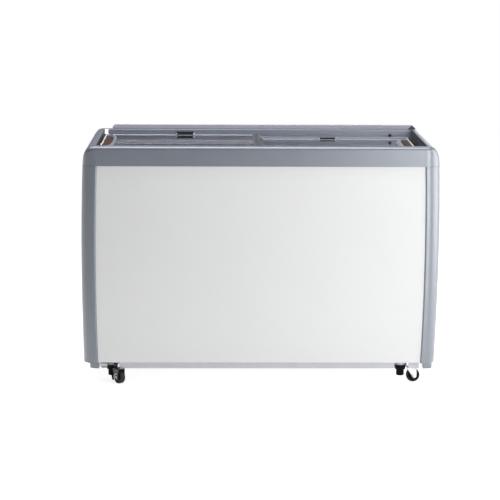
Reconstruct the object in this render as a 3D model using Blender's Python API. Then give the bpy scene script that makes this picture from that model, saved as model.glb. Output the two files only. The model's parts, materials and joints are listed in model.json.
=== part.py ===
"""Commercial chest freezer with two sliding glass lids, on four swivel casters.

Units are metres, +Z is up, +X runs to the right along the long side and the front faces -Y.
The origin is on the floor, under the middle of the cabinet.
"""

import math

import bmesh
import bpy
from mathutils import Matrix

# ---------------------------------------------------------------- driving dimensions
GAP = 0.0003  # kept between pieces that touch or nest
HALF_DEPTH = 0.340
RIM_TOP = 0.872
BAND_BOTTOM = 0.802
SKIRT_BOTTOM = 0.0818  # lower edge of the outer panels
PAN_TOP = 0.0825  # upper face of the base pan
STRIP_BOTTOM = 0.0570  # lower edge of the plinth strip
FOOT_BOTTOM = 0.0560  # and of the foot caps, just over the forks as they turn

BOW_HALF_WIDTH = 0.650  # corner pillars bulge outwards to this half width
BOW_HEIGHT = {-1: 0.44, 1: 0.53}  # where the left and right ones are widest
BOW_RATE = 0.050
PILLAR_FACE = 0.055
CORNER_RADIUS = 0.050

SHEET = 0.0015
PANEL_Y = 0.335  # outer face of the front and rear panels
PANEL_X = 0.6395  # outer face of the side panels
PANEL_HALF_WIDTH = 0.606
SIDE_HALF_DEPTH = 0.292

END_HALF_WIDTH = {-1: 0.6430, 1: 0.6475}  # outer faces of the rim's end mouldings
END_TAPER = 0.0025
END_ROUND_X = 0.038  # the shoulder's size across and down, on the ends
END_ROUND_Z = 0.045
RAIL_ROUND = 0.008  # and on the long rails
RAIL_END_X = 0.5908
RAIL_WALL = 0.003
TOP_INNER_Y = 0.292  # walls of the two stepped tracks
UPPER_INNER_Y = 0.278
OPENING_Y = 0.264
UPPER_TRACK_Z = 0.8445
LOWER_TRACK_Z = 0.8305
RAIL_NOSE_Z = 0.805
END_WALL_X = {-1: 0.595, 1: 0.603}  # inner faces of the left and right end mouldings
WELL_DROP = 0.016  # the end mouldings' shelf lies this far under the lower track

LEDGE_Y = (0.314, 0.331)
LEDGE_X = (-0.566, 0.622)
LEDGE_TOP = 0.888
LEDGE_SLOPE = 0.015  # the ledge's right end leans in by this much

LID_OVERLAP = 0.007
LEFT_LID_OUTER = -0.590
RIGHT_LID_OUTER = 0.583
FRAME_HEIGHT = 0.007
FRAME_RUNNER = 0.014
FRAME_END = 0.020
CENTRE_PROFILE = 0.027
GLASS = 0.004
GRIP_INSET = 0.0075  # from the lid's outer end to the grip
GRIP_HEIGHT = 0.012
GRIP_HALF_LENGTH = 0.215
GRIP_Y = -0.030  # middle of the grip, a little nearer the front
GRIP_WIDTH = 0.048
GRIP_LIP = 0.004  # width of the grip's rim along its straight side
GRIP_SHOULDER = 0.011  # and along its bowed side
PAD = 0.003

LINER_X = (-0.566, 0.566)
LINER_HALF_Y = 0.255
LINER_FLOOR = 0.150
LINER_WALL = 0.0025
LINER_RADIUS = 0.030
STEP_X = 0.300
STEP_Z = 0.375
COIL_SPACE = 0.010  # room between the liner and the foam, for the evaporator tube
FOAM_TOP = 0.801
BAY_X = 0.365
BAY_TOP = 0.318

CASTER_Y = 0.2765
LEFT_CASTER_X = -0.5415
RIGHT_CASTER_X = 0.5175
TRAIL = 0.047
WHEEL_RADIUS = 0.025
WHEEL_HALF_WIDTH = 0.010
BRAKE_HINGE = (-0.020, 0.0665)  # along the trail and up, from the swivel axis at floor level

FAN_Y = -0.120
FAN_Z = 0.205


# ---------------------------------------------------------------- helpers
def clear_scene():
    for thing in list(bpy.data.objects):
        bpy.data.objects.remove(thing, do_unlink=True)


def material(name, colour, roughness, metallic=0.0):
    made = bpy.data.materials.new(name)
    made.use_nodes = True
    shader = made.node_tree.nodes["Principled BSDF"]
    shader.inputs["Base Color"].default_value = (*colour, 1.0)
    shader.inputs["Roughness"].default_value = roughness
    shader.inputs["Metallic"].default_value = metallic
    made.diffuse_color = (*colour, 1.0)
    return made


def place(name, mesh, finish=None, parent=None, matrix=None):
    """Links one named object that holds this mesh."""
    made = bpy.data.objects.new(name, mesh)
    bpy.context.scene.collection.objects.link(made)
    if matrix is not None:
        made.matrix_world = matrix
    if parent is not None:
        made.parent = parent
    if finish is not None and not mesh.materials:
        mesh.materials.append(finish)
    return made


def empty(name, location, angle=0.0):
    made = bpy.data.objects.new(name, None)
    made.location = location
    made.rotation_euler = (0.0, 0.0, angle)
    made.empty_display_size = 0.03
    bpy.context.scene.collection.objects.link(made)
    return made


def finish_mesh(name, bm, smooth_angle=None):
    bmesh.ops.recalc_face_normals(bm, faces=bm.faces)
    mesh = bpy.data.meshes.new(name)
    bm.to_mesh(mesh)
    bm.free()
    if smooth_angle is not None:
        mesh.shade_smooth()
        mesh.set_sharp_from_angle(angle=math.radians(smooth_angle))
    return mesh


def loft(name, rings, smooth_angle=None):
    """A closed solid through rings of equal length, capped at both ends."""
    bm = bmesh.new()
    rows = [[bm.verts.new(point) for point in ring] for ring in rings]
    for lower, upper in zip(rows, rows[1:]):
        for i in range(len(lower)):
            j = (i + 1) % len(lower)
            bm.faces.new((lower[i], lower[j], upper[j], upper[i]))
    bm.faces.new(rows[0])
    bm.faces.new(rows[-1])
    return finish_mesh(name, bm, smooth_angle)


def prism(name, outline, axis, low, high, smooth_angle=None):
    """An outline pushed along an axis; it is given in the other two axes, in X, Y, Z order."""
    spots = {"X": (1, 2), "Y": (0, 2), "Z": (0, 1)}[axis]
    along = "XYZ".index(axis)
    rings = []
    for level in (low, high):
        ring = []
        for first, second in outline:
            point = [0.0, 0.0, 0.0]
            point[spots[0]] = first
            point[spots[1]] = second
            point[along] = level
            ring.append(point)
        rings.append(ring)
    return loft(name, rings, smooth_angle)


def block(name, low, high):
    outline = rectangle(low[0], high[0], low[1], high[1])
    return prism(name, outline, "Z", low[2], high[2])


def rectangle(x0, x1, y0, y1):
    return [(x0, y0), (x1, y0), (x1, y1), (x0, y1)]


def rounded_rectangle(x0, x1, y0, y1, radius, steps=4):
    points = []
    corners = ((x1, y0, -90), (x1, y1, 0), (x0, y1, 90), (x0, y0, 180))
    for x, y, start in corners:
        centre_x = x - math.copysign(radius, x - (x0 + x1) / 2)
        centre_y = y - math.copysign(radius, y - (y0 + y1) / 2)
        for i in range(steps + 1):
            angle = math.radians(start + 90 * i / steps)
            points.append((centre_x + radius * math.cos(angle), centre_y + radius * math.sin(angle)))
    return points


def arc(centre, radius, start, end, steps):
    """Points of an arc, with its angles in degrees."""
    points = []
    for i in range(steps + 1):
        angle = math.radians(start + (end - start) * i / steps)
        points.append((centre[0] + radius * math.cos(angle), centre[1] + radius * math.sin(angle)))
    return points


def turned(name, profile, steps, turn=None, smooth_angle=35):
    """A profile of (radius, height) turned about +Z. It closes on itself or starts and ends at radius 0."""
    bm = bmesh.new()
    points = [bm.verts.new((radius, 0.0, height)) for radius, height in profile]
    edges = [bm.edges.new(pair) for pair in zip(points, points[1:])]
    if profile[0][0] > 0.0:
        edges.append(bm.edges.new((points[-1], points[0])))
    bmesh.ops.spin(
        bm,
        geom=points + edges,
        cent=(0, 0, 0),
        axis=(0, 0, 1),
        angle=2 * math.pi,
        steps=steps,
        use_merge=True,
    )
    bmesh.ops.remove_doubles(bm, verts=bm.verts, dist=1e-6)
    if turn is not None:
        bmesh.ops.transform(bm, matrix=turn, verts=bm.verts)
    return finish_mesh(name, bm, smooth_angle)


def tube(name, points, radius, finish, resolution=1):
    curve = bpy.data.curves.new(name, "CURVE")
    curve.dimensions = "3D"
    curve.bevel_depth = radius
    curve.bevel_resolution = resolution
    curve.use_fill_caps = True
    curve.render_resolution_u = 0
    spline = curve.splines.new("POLY")
    spline.points.add(len(points) - 1)
    for spot, point in zip(spline.points, points):
        spot.co = (*point, 1.0)
    curve.materials.append(finish)
    made = bpy.data.objects.new(name, curve)
    bpy.context.scene.collection.objects.link(made)
    return made


def combine(name, base, tools, operation, smooth_angle=None):
    """The mesh that is left after a Boolean of base with each tool mesh in turn."""
    current = base
    for tool in tools:
        target = place("target", current)
        helper = place("helper", tool)
        modifier = target.modifiers.new("boolean", "BOOLEAN")
        modifier.operation = operation
        modifier.object = helper
        graph = bpy.context.evaluated_depsgraph_get()
        current = bpy.data.meshes.new_from_object(target.evaluated_get(graph))
        bpy.data.objects.remove(target, do_unlink=True)
        bpy.data.objects.remove(helper, do_unlink=True)
    current.name = name
    current.materials.clear()
    if smooth_angle is not None:
        current.shade_smooth()
        current.set_sharp_from_angle(angle=math.radians(smooth_angle))
    return current


def cut(name, base, tools, smooth_angle=None):
    return combine(name, base, tools, "DIFFERENCE", smooth_angle)


def weld(name, base, tools, smooth_angle=None):
    return combine(name, base, tools, "UNION", smooth_angle)


ALONG_X = Matrix.Rotation(math.radians(90), 4, "Y")
ALONG_Y = Matrix.Rotation(math.radians(-90), 4, "X")


# ---------------------------------------------------------------- cabinet shell
def half_width(z, side):
    """Outer half width of the bowed pillars at this height; side is -1 for the left and 1 for the right."""
    return BOW_HALF_WIDTH - BOW_RATE * (z - BOW_HEIGHT[side]) ** 2


def build_panels(paint, inner_steel):
    top = BAND_BOTTOM - 0.0005
    back = PANEL_Y - SHEET
    lip = 0.018
    front_outline = [
        (-PANEL_Y, SKIRT_BOTTOM),
        (-back + lip, SKIRT_BOTTOM),
        (-back + lip, SKIRT_BOTTOM + SHEET),
        (-back, SKIRT_BOTTOM + SHEET),
        (-back, top),
        (-PANEL_Y, top),
    ]
    front = prism("front_panel", front_outline, "X", -PANEL_HALF_WIDTH, PANEL_HALF_WIDTH)
    place("front_panel", front, paint)

    rear = block("rear", (-PANEL_HALF_WIDTH, back, SKIRT_BOTTOM), (PANEL_HALF_WIDTH, PANEL_Y, top))
    slots = [
        block("slot", (0.390, 0.32, 0.170 + 0.016 * i), (0.560, 0.35, 0.176 + 0.016 * i)) for i in range(8)
    ]
    gland_profile = [(0.0, -0.02), (0.009, -0.02), (0.009, 0.02), (0.0, 0.02)]
    gland_hole = turned("hole", gland_profile, 16, Matrix.Translation((0.500, PANEL_Y, 0.130)) @ ALONG_Y)
    place("rear_panel", cut("rear_panel", rear, slots + [gland_hole]), inner_steel)

    inner = PANEL_X - SHEET
    left = block("left_panel", (-PANEL_X, -SIDE_HALF_DEPTH, SKIRT_BOTTOM), (-inner, SIDE_HALF_DEPTH, top))
    place("left_panel", left, paint)
    right = block("right", (inner, -SIDE_HALF_DEPTH, SKIRT_BOTTOM), (PANEL_X, SIDE_HALF_DEPTH, top))
    opening = block("opening", (0.62, -0.235, 0.115), (0.66, -0.005, 0.305))
    shaft_profile = [(0.0, -0.02), (0.0045, -0.02), (0.0045, 0.02), (0.0, 0.02)]
    shaft_hole = turned("hole", shaft_profile, 12, Matrix.Translation((PANEL_X, 0.060, 0.250)) @ ALONG_X)
    place("right_panel", cut("right_panel", right, [opening, shaft_hole]), paint)


def pillar_ring(z, side, end):
    """Plan outline of a corner pillar at this height; side and end are -1 or 1 for X and Y."""
    outer = half_width(z, side)
    centre = (outer - CORNER_RADIUS, HALF_DEPTH - CORNER_RADIUS)
    points = [(outer - PILLAR_FACE, HALF_DEPTH)]
    points += arc(centre, CORNER_RADIUS, 90, 0, 7)
    points += [
        (outer, HALF_DEPTH - PILLAR_FACE),
        (PANEL_X + GAP, HALF_DEPTH - PILLAR_FACE),
        (PANEL_X + GAP, SIDE_HALF_DEPTH + 0.0005),
        (PANEL_HALF_WIDTH + 0.0015, PANEL_Y + GAP),
        (outer - PILLAR_FACE, PANEL_Y + GAP),
    ]
    return [(side * x, end * y, z) for x, y in points]


def foot_outline(side, end):
    """Plan outline of a foot cap, round at its outer corner; the right-hand ones sit further out."""
    inner = 0.5865 if side < 0 else 0.5975
    outer = inner + 0.0355
    front = 0.318
    back = 0.280
    radius = 0.022
    points = [(inner, front)]
    points += arc((outer - radius, front - radius), radius, 90, 0, 5)
    points += [(outer, back), (inner, back)]
    return [(side * x, end * y) for x, y in points]


def build_pillars(plastic):
    bottom = SKIRT_BOTTOM - 0.0025
    top = BAND_BOTTOM - 0.0008
    levels = 8
    corners = {"front_left": (-1, -1), "front_right": (1, -1), "rear_left": (-1, 1), "rear_right": (1, 1)}
    for corner, (side, end) in corners.items():
        heights = [bottom + (top - bottom) * i / levels for i in range(levels + 1)]
        rings = [pillar_ring(z, side, end) for z in heights]
        place(f"{corner}_pillar", loft(f"{corner}_pillar", rings, 30), plastic)

        name = f"{corner}_foot_cap"
        foot = prism(name, foot_outline(side, end), "Z", FOOT_BOTTOM, bottom - GAP, 30)
        place(name, foot, plastic)


def build_base(galvanised, trim):
    flange_x = 0.583
    flange_bottom = 0.060
    plate_x = PANEL_X - SHEET - GAP
    thick = 0.002
    top = PAN_TOP
    half = [
        (flange_x - thick, top - thick),
        (flange_x - thick, flange_bottom),
        (flange_x, flange_bottom),
        (flange_x, top - thick),
        (plate_x, top - thick),
        (plate_x, top),
    ]
    tray = half + [(-x, z) for x, z in reversed(half)]
    tray = prism("tray", tray, "Y", -0.3050, 0.332)
    corners = []
    for x_low, x_high in ((-0.66, -0.5845), (0.5845, 0.66)):
        for y_low, y_high in ((-0.36, -0.278), (0.278, 0.36)):
            corners.append(block("corner", (x_low, y_low, 0.05), (x_high, y_high, 0.09)))
    place("base_pan", cut("base_pan", tray, corners), galvanised)

    strip_top = SKIRT_BOTTOM - GAP
    lip_bottom = strip_top - SHEET
    face = block("face", (-flange_x, -0.320, STRIP_BOTTOM), (flange_x, -0.3185, strip_top))
    lip = block("lip", (-flange_x, -0.3190, lip_bottom), (flange_x, -0.3055, strip_top))
    strip = weld("strip", face, [lip])
    notches = []
    for low_x, high_x in ((-0.600, -0.511), (0.493, 0.543)):
        notches.append(block("notch", (low_x, -0.33, 0.05), (high_x, -0.3180, lip_bottom)))
    place("front_plinth", cut("front_plinth", strip, notches), trim)


def liner_block(name, grow, floor_grow, top):
    """The tub's outer shape, grown sideways and down: a deep part and the shallow part over the step."""
    y = LINER_HALF_Y + grow
    radius = LINER_RADIUS + grow
    deep_outline = rounded_rectangle(LINER_X[0] - grow, STEP_X + grow, -y, y, radius)
    deep = prism("deep", deep_outline, "Z", LINER_FLOOR - floor_grow, top)
    wide_outline = rounded_rectangle(LINER_X[0] - grow, LINER_X[1] + grow, -y, y, radius)
    wide = prism("wide", wide_outline, "Z", STEP_Z - floor_grow, top)
    return weld(name, deep, [wide])


def build_liner(white, foam):
    flange_top = RAIL_NOSE_Z - 0.0005
    outside = liner_block("outside", LINER_WALL, LINER_WALL, flange_top)
    flange = block("flange", (-0.5905, -0.285, flange_top - 0.003), (0.5905, 0.285, flange_top))
    inside = liner_block("inside", 0.0, 0.0, RIM_TOP)
    hole_profile = [(0.0, -0.02), (0.012, -0.02), (0.012, 0.02), (0.0, 0.02)]
    drain_hole = turned("hole", hole_profile, 16, Matrix.Translation((-0.45, 0.0, LINER_FLOOR)))
    tub = weld("tub", outside, [flange])
    place("liner_tub", cut("liner_tub", tub, [inside, drain_hole], 30), white)

    reach = PANEL_X - SHEET - 0.0005
    deep = PANEL_Y - SHEET - 0.0005
    outline = []
    for x_sign, y_sign in ((-1, -1), (1, -1), (1, 1), (-1, 1)):
        side_point = (x_sign * reach, y_sign * SIDE_HALF_DEPTH)
        long_point = (x_sign * PANEL_HALF_WIDTH, y_sign * deep)
        outline += [side_point, long_point] if x_sign == y_sign else [long_point, side_point]
    jacket = prism("jacket", outline, "Z", PAN_TOP + 0.0007, FOAM_TOP)
    grow = LINER_WALL + COIL_SPACE
    cavity = liner_block("cavity", grow, grow, RIM_TOP)
    bay = block("bay", (BAY_X, -0.34, 0.0), (0.66, 0.34, BAY_TOP))
    under_lip = block("under_lip", (-0.62, -0.34, 0.0), (0.62, -0.312, SKIRT_BOTTOM + SHEET + 2 * GAP))
    place("foam_insulation", cut("foam_insulation", jacket, [cavity, bay, under_lip], 30), foam)


# ---------------------------------------------------------------- rim
def rail_outline(end):
    """Section of a long rail: a rounded outer face, two stepped lid tracks, open underneath."""
    inset = [(0.0, BAND_BOTTOM)]
    inset += [(RAIL_ROUND - x, z) for x, z in arc((0.0, RIM_TOP - RAIL_ROUND), RAIL_ROUND, 0, 90, 5)]
    top_inner = HALF_DEPTH - TOP_INNER_Y
    upper_inner = HALF_DEPTH - UPPER_INNER_Y
    opening = HALF_DEPTH - OPENING_Y
    inset += [
        (top_inner - 0.002, RIM_TOP),
        (top_inner, RIM_TOP - 0.002),
        (top_inner, UPPER_TRACK_Z),
        (upper_inner, UPPER_TRACK_Z),
        (upper_inner, LOWER_TRACK_Z),
        (opening, LOWER_TRACK_Z),
        (opening, RAIL_NOSE_Z),
        (opening - RAIL_WALL, RAIL_NOSE_Z),
        (opening - RAIL_WALL, LOWER_TRACK_Z - RAIL_WALL),
        (upper_inner - RAIL_WALL, LOWER_TRACK_Z - RAIL_WALL),
        (upper_inner - RAIL_WALL, UPPER_TRACK_Z - RAIL_WALL),
        (top_inner - RAIL_WALL, UPPER_TRACK_Z - RAIL_WALL),
        (top_inner - RAIL_WALL, RIM_TOP - RAIL_WALL),
        (RAIL_ROUND, RIM_TOP - RAIL_WALL),
        (RAIL_WALL, RIM_TOP - RAIL_ROUND),
        (RAIL_WALL, BAND_BOTTOM + RAIL_WALL),
        (0.016, BAND_BOTTOM + RAIL_WALL),
        (0.016, BAND_BOTTOM),
    ]
    return [(end * (HALF_DEPTH - y), z) for y, z in inset]


def shoulder_inset(z, turn):
    """How far the outer face has come in at this height; turn is 0 on a long side and 1 on an end."""
    blend = turn * turn * (3 - 2 * turn)
    across = RAIL_ROUND + (END_ROUND_X - RAIL_ROUND) * blend
    down = RAIL_ROUND + (END_ROUND_Z - RAIL_ROUND) * blend
    rise = max(0.0, (z - (RIM_TOP - down)) / down)
    taper = END_TAPER * blend * min(1.0, (z - BAND_BOTTOM) / 0.038)
    return taper + (across - END_TAPER * blend) * (1 - math.sqrt(max(0.0, 1 - rise * rise)))


def end_ring(z, side):
    """Plan outline of an end moulding at this height, from the front seam round to the rear one."""
    centre_x = END_HALF_WIDTH[side] - CORNER_RADIUS
    centre_y = HALF_DEPTH - CORNER_RADIUS
    seam = RAIL_END_X + GAP
    steps = 8
    quarter = [(seam, HALF_DEPTH - shoulder_inset(z, 0.0))]
    for i in range(steps + 1):
        turn = i / steps
        angle = math.radians(90 * (1 - turn))
        radius = CORNER_RADIUS - shoulder_inset(z, turn)
        quarter.append((centre_x + radius * math.cos(angle), centre_y + radius * math.sin(angle)))
    points = [(x, -y) for x, y in quarter] + [(x, y) for x, y in reversed(quarter)]
    return [(side * x, y, z) for x, y in points]


def build_end_rail(name, side, plastic):
    heights = [BAND_BOTTOM, 0.815, 0.828, 0.838, 0.847, 0.855, 0.861, 0.8645, 0.868, 0.8705, RIM_TOP]
    body = loft("body", [end_ring(z, side) for z in heights])
    shelf = LOWER_TRACK_Z - WELL_DROP
    wall = END_WALL_X[side]
    low_x, high_x = sorted((side * 0.58, side * wall))
    well = block("well", (low_x, -TOP_INNER_Y, shelf), (high_x, TOP_INNER_Y, 0.90))
    low_x, high_x = sorted((side * (wall + RAIL_WALL), side * 0.640))
    hollow = block("hollow", (low_x, -0.280, 0.79), (high_x, 0.280, 0.825))
    place(name, cut(name, body, [well, hollow], 32), plastic)


def build_rim(plastic, dark_plastic, rubber):
    for name, end in (("front_rail", -1), ("rear_rail", 1)):
        place(name, prism(name, rail_outline(end), "X", -RAIL_END_X, RAIL_END_X, 32), plastic)
    build_end_rail("left_end_rail", -1, plastic)
    build_end_rail("right_end_rail", 1, plastic)

    base = RIM_TOP + GAP
    height = LEDGE_TOP - base
    outline = arc((LEDGE_X[0] + height, base), height, 180, 90, 5)
    outline += [(LEDGE_X[1] - LEDGE_SLOPE, LEDGE_TOP), (LEDGE_X[1], base)]
    place("rear_ledge", prism("rear_ledge", outline, "Y", *LEDGE_Y, 30), dark_plastic)

    stop_profile = [(0.0, 0.0), (0.0045, 0.0), (0.006, 0.0015), (0.006, 0.011), (0.0, 0.011)]
    stops = {
        "upper_lid_stop": (0.517, TOP_INNER_Y, UPPER_TRACK_Z + 0.0068),
        "lower_lid_stop": (-0.517, UPPER_INNER_Y, LOWER_TRACK_Z + 0.0068),
    }
    for name, (x, wall, z) in stops.items():
        turn = Matrix.Translation((x, wall - 0.011 - GAP, z)) @ ALONG_Y
        place(name, turned(name, stop_profile, 12, turn), rubber)


# ---------------------------------------------------------------- sliding lids
def grip_outline(outer, inward, edge, depth, half_length):
    """Plan outline of a half ellipse: straight along the lid's end, bowed towards its middle."""
    points = []
    steps = 12
    for i in range(steps + 1):
        angle = math.pi * i / steps
        across = edge + depth * math.sin(angle)
        points.append((outer + inward * across, GRIP_Y + half_length * math.cos(angle)))
    return points


def build_lid(name, outer, inner, base, half_y, pull_x, pull_height, finishes):
    """One sliding lid; outer and inner are its two ends in X, base is the underside of its runners."""
    inward = math.copysign(1.0, inner - outer)
    top = base + FRAME_HEIGHT
    slide = empty(f"{name}_slide", ((outer + inner) / 2, 0.0, base))
    back = Matrix.Translation(-slide.location)

    def add(part, mesh, finish):
        mesh.transform(back)
        return place(f"{name}_{part}", mesh, finish, parent=slide)

    glass_x = sorted((outer + inward * 0.012, inner - inward * 0.018))
    glass_y = half_y - 0.006
    glass_z = (base + 0.0015, base + 0.0015 + GLASS)
    pane = block("pane", (glass_x[0], -glass_y, glass_z[0]), (glass_x[1], glass_y, glass_z[1]))
    groove_low = (glass_x[0] - GAP, -glass_y - GAP, glass_z[0] - GAP)
    groove_high = (glass_x[1] + GAP, glass_y + GAP, glass_z[1] + GAP)

    frame_end = inner - inward * (CENTRE_PROFILE + GAP)
    frame_inner = outer + inward * FRAME_END
    runner = half_y - FRAME_RUNNER
    c_shape = [
        (outer, -half_y),
        (frame_end, -half_y),
        (frame_end, -runner),
        (frame_inner, -runner),
        (frame_inner, runner),
        (frame_end, runner),
        (frame_end, half_y),
        (outer, half_y),
    ]
    frame = prism("frame", c_shape, "Z", base, top)
    add("frame", cut("frame", frame, [block("groove", groove_low, groove_high)]), finishes["runner"])
    add("glass", pane, finishes["glass"])

    bar_x = sorted((inner, inner - inward * CENTRE_PROFILE))
    bar = block("bar", (bar_x[0], -half_y, base), (bar_x[1], half_y, top))
    profile = cut("profile", bar, [block("groove", groove_low, groove_high)])
    add("centre_profile", profile, finishes["aluminium"])

    seat = top + GAP
    grip_end = outer + inward * GRIP_INSET
    recess_depth = GRIP_WIDTH - GRIP_LIP - GRIP_SHOULDER
    recess_half = GRIP_HALF_LENGTH - 0.009
    rim_outline = grip_outline(grip_end, inward, 0.0, GRIP_WIDTH, GRIP_HALF_LENGTH)
    recess_outline = grip_outline(grip_end, inward, GRIP_LIP, recess_depth, recess_half)
    pad_outline = grip_outline(grip_end, inward, GRIP_LIP + GAP, recess_depth - 2 * GAP, recess_half - 0.002)
    rim = prism("rim", rim_outline, "Z", seat, seat + GRIP_HEIGHT)
    recess = prism("recess", recess_outline, "Z", seat - 0.01, seat + 0.03)
    add("end_grip", cut("grip", rim, [recess], 30), finishes["plastic"])
    add("grip_pad", prism("pad", pad_outline, "Z", seat, seat + PAD), finishes["brown"])

    pull_y = (half_y - 0.0130, half_y - 0.0020)
    section = [
        (pull_y[0], seat),
        (pull_y[1], seat),
        (pull_y[1], seat + pull_height),
        (pull_y[1] - 0.003, seat + pull_height),
        (pull_y[0], seat + 0.0025),
    ]
    pull = prism("pull", section, "X", pull_x[0], pull_x[1])
    add("rear_pull", pull, finishes["dark"])


# ---------------------------------------------------------------- casters
def fork_mesh():
    """Swivel ring, strap, bridge over the wheel, two cheeks and the axle, about the swivel axis."""
    ring_profile = [(0.0066, 0.0700), (0.0245, 0.0700), (0.0245, 0.0772), (0.0066, 0.0772)]
    ring = turned("ring", ring_profile, 24)
    strap = block("strap", (0.0230, -0.0080, 0.0530), (0.0243, 0.0080, 0.0710))
    bridge = block("bridge", (0.0230, -0.0155, 0.0530), (0.0600, 0.0155, 0.0555))
    cheek_outline = [(0.0250, 0.0540), (0.0250, 0.0490)]
    cheek_outline += arc((TRAIL + 0.0048, 0.0218), 0.0074, 205, 350, 5)
    cheek_outline += [(0.0594, 0.0440), (0.0594, 0.0540)]
    cheeks = [prism("cheek", cheek_outline, "Y", low, low + 0.002) for low in (-0.0155, 0.0135)]
    axle_profile = [(0.0, -0.0165), (0.003, -0.0165), (0.003, 0.0165), (0.0, 0.0165)]
    axle_turn = Matrix.Translation((TRAIL, 0.0, WHEEL_RADIUS)) @ ALONG_Y
    axle = turned("axle", axle_profile, 12, axle_turn)
    return weld("fork", ring, [strap, bridge, *cheeks, axle], 32)


def wheel_mesh():
    """Wheel with its origin at its centre and its axle along Y."""
    half = WHEEL_HALF_WIDTH
    profile = [
        (0.0034, -half - 0.002),
        (0.008, -half - 0.002),
        (0.010, -half + 0.002),
        (0.018, -half + 0.002),
        (0.0195, -half),
        (0.023, -half),
        (WHEEL_RADIUS, -half + 0.003),
        (WHEEL_RADIUS, half - 0.003),
        (0.023, half),
        (0.0195, half),
        (0.018, half - 0.002),
        (0.010, half - 0.002),
        (0.008, half + 0.002),
        (0.0034, half + 0.002),
    ]
    return turned("wheel", profile, 24, ALONG_Y)


def brake_mesh():
    """Tapered brake cup with its origin on its hinge, under the swivel ring."""
    profile = [(0.0, 0.0235), (0.0120, 0.0235), (0.0144, 0.0262), (0.0144, 0.0440), (0.0190, 0.0475)]
    profile += [(0.0225, 0.0640), (0.0225, 0.0695), (0.0, 0.0695)]
    shift = Matrix.Translation((-BRAKE_HINGE[0], 0.0, -BRAKE_HINGE[1]))
    return turned("brake", profile, 20, shift)


def head_mesh():
    """Fixed top plate with its kingpin, about the swivel axis."""
    plate = block("plate", (-0.029, -0.029, 0.0777), (0.029, 0.029, 0.0802))
    pin_profile = [(0.0, 0.0702), (0.006, 0.0702), (0.006, 0.0790), (0.0, 0.0790)]
    return weld("head", plate, [turned("pin", pin_profile, 12)])


def build_casters(zinc, tyre, black):
    head = head_mesh()
    fork = fork_mesh()
    wheel = wheel_mesh()
    brake = brake_mesh()
    for mesh, finish in ((head, zinc), (fork, zinc), (wheel, tyre), (brake, black)):
        mesh.materials.append(finish)
    spots = {
        "front_left": (LEFT_CASTER_X, -CASTER_Y, -53.0, True),
        "front_right": (RIGHT_CASTER_X, -CASTER_Y, 0.0, True),
        "rear_left": (LEFT_CASTER_X, CASTER_Y, -20.0, False),
        "rear_right": (RIGHT_CASTER_X, CASTER_Y, -35.0, False),
    }
    for corner, (x, y, degrees, braked) in spots.items():
        place(f"{corner}_caster_plate", head, matrix=Matrix.Translation((x, y, 0.0)))
        swivel = empty(f"{corner}_swivel", (x, y, 0.0), math.radians(degrees))
        place(f"{corner}_fork", fork, parent=swivel)
        place(f"{corner}_wheel", wheel, parent=swivel).location = (TRAIL, 0.0, WHEEL_RADIUS)
        if braked:
            hinge = (BRAKE_HINGE[0], 0.0, BRAKE_HINGE[1])
            place(f"{corner}_brake", brake, parent=swivel).location = hinge


# ---------------------------------------------------------------- refrigeration
def build_compressor(black_paint):
    centre = Matrix.Translation((0.475, 0.130, 0.0))
    profile = [(0.0, 0.100), (0.060, 0.100), (0.072, 0.112), (0.076, 0.160), (0.076, 0.215)]
    profile += [(0.070, 0.248), (0.050, 0.268), (0.022, 0.275), (0.0, 0.275)]
    shell = turned("shell", profile, 20, centre)
    plate = block("plate", (0.385, 0.055, 0.0935), (0.565, 0.205, 0.1010))
    seat = PAN_TOP + GAP
    foot_profile = [(0.0, seat), (0.010, seat), (0.010, 0.095), (0.0, 0.095)]
    feet = []
    for x in (0.400, 0.550):
        for y in (0.070, 0.190):
            feet.append(turned("foot", foot_profile, 10, Matrix.Translation((x, y, 0.0))))
    place("compressor", weld("compressor", shell, [plate, *feet], 32), black_paint)


def build_fan(black, motor_grey):
    spin = Matrix.Translation((0.0, FAN_Y, FAN_Z))
    motor_profile = [(0.0, 0.515), (0.028, 0.515), (0.032, 0.520), (0.032, 0.560), (0.026, 0.566)]
    motor_profile += [(0.003, 0.566), (0.003, 0.5735), (0.0, 0.5735)]
    motor = turned("motor", motor_profile, 16, spin @ ALONG_X)
    seat = PAN_TOP + GAP
    leg = block("leg", (0.535, FAN_Y - 0.020, seat + 0.001), (0.545, FAN_Y + 0.020, FAN_Z - 0.020))
    foot = block("foot", (0.515, FAN_Y - 0.030, seat), (0.565, FAN_Y + 0.030, seat + 0.0025))
    place("fan_motor", weld("fan_motor", motor, [leg, foot], 32), motor_grey)

    hub_profile = [(0.0, -0.008), (0.018, -0.008), (0.018, 0.006), (0.012, 0.010), (0.0, 0.010)]
    hub = turned("hub", hub_profile, 15, ALONG_X)
    blades = []
    for i in range(5):
        blade = block("blade", (-0.001, -0.019, 0.014), (0.001, 0.019, 0.085))
        pitch = Matrix.Rotation(math.radians(28), 4, "Z")
        blade.transform(Matrix.Rotation(math.radians(72 * i), 4, "X") @ pitch)
        blades.append(blade)
    place("fan_blade", weld("fan_blade", hub, blades, 32), black).location = (0.5830, FAN_Y, FAN_Z)


def build_condenser(black_paint):
    runs = 8
    pitch = 0.026
    low_y, high_y = -0.215, -0.025
    points = []
    for i in range(runs):
        z = 0.112 + pitch * i
        start, end = (low_y, high_y) if i % 2 == 0 else (high_y, low_y)
        points += [(0.617, start, z), (0.617, end, z)]
        if i < runs - 1:
            outward = math.copysign(pitch / 2, end - start)
            for degrees in (-60, -30, 0, 30, 60):
                angle = math.radians(degrees)
                bend_y = end + outward * math.cos(angle)
                points.append((0.617, bend_y, z + pitch / 2 + pitch / 2 * math.sin(angle)))
    tube("condenser_coil", points, 0.003, black_paint)


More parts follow.
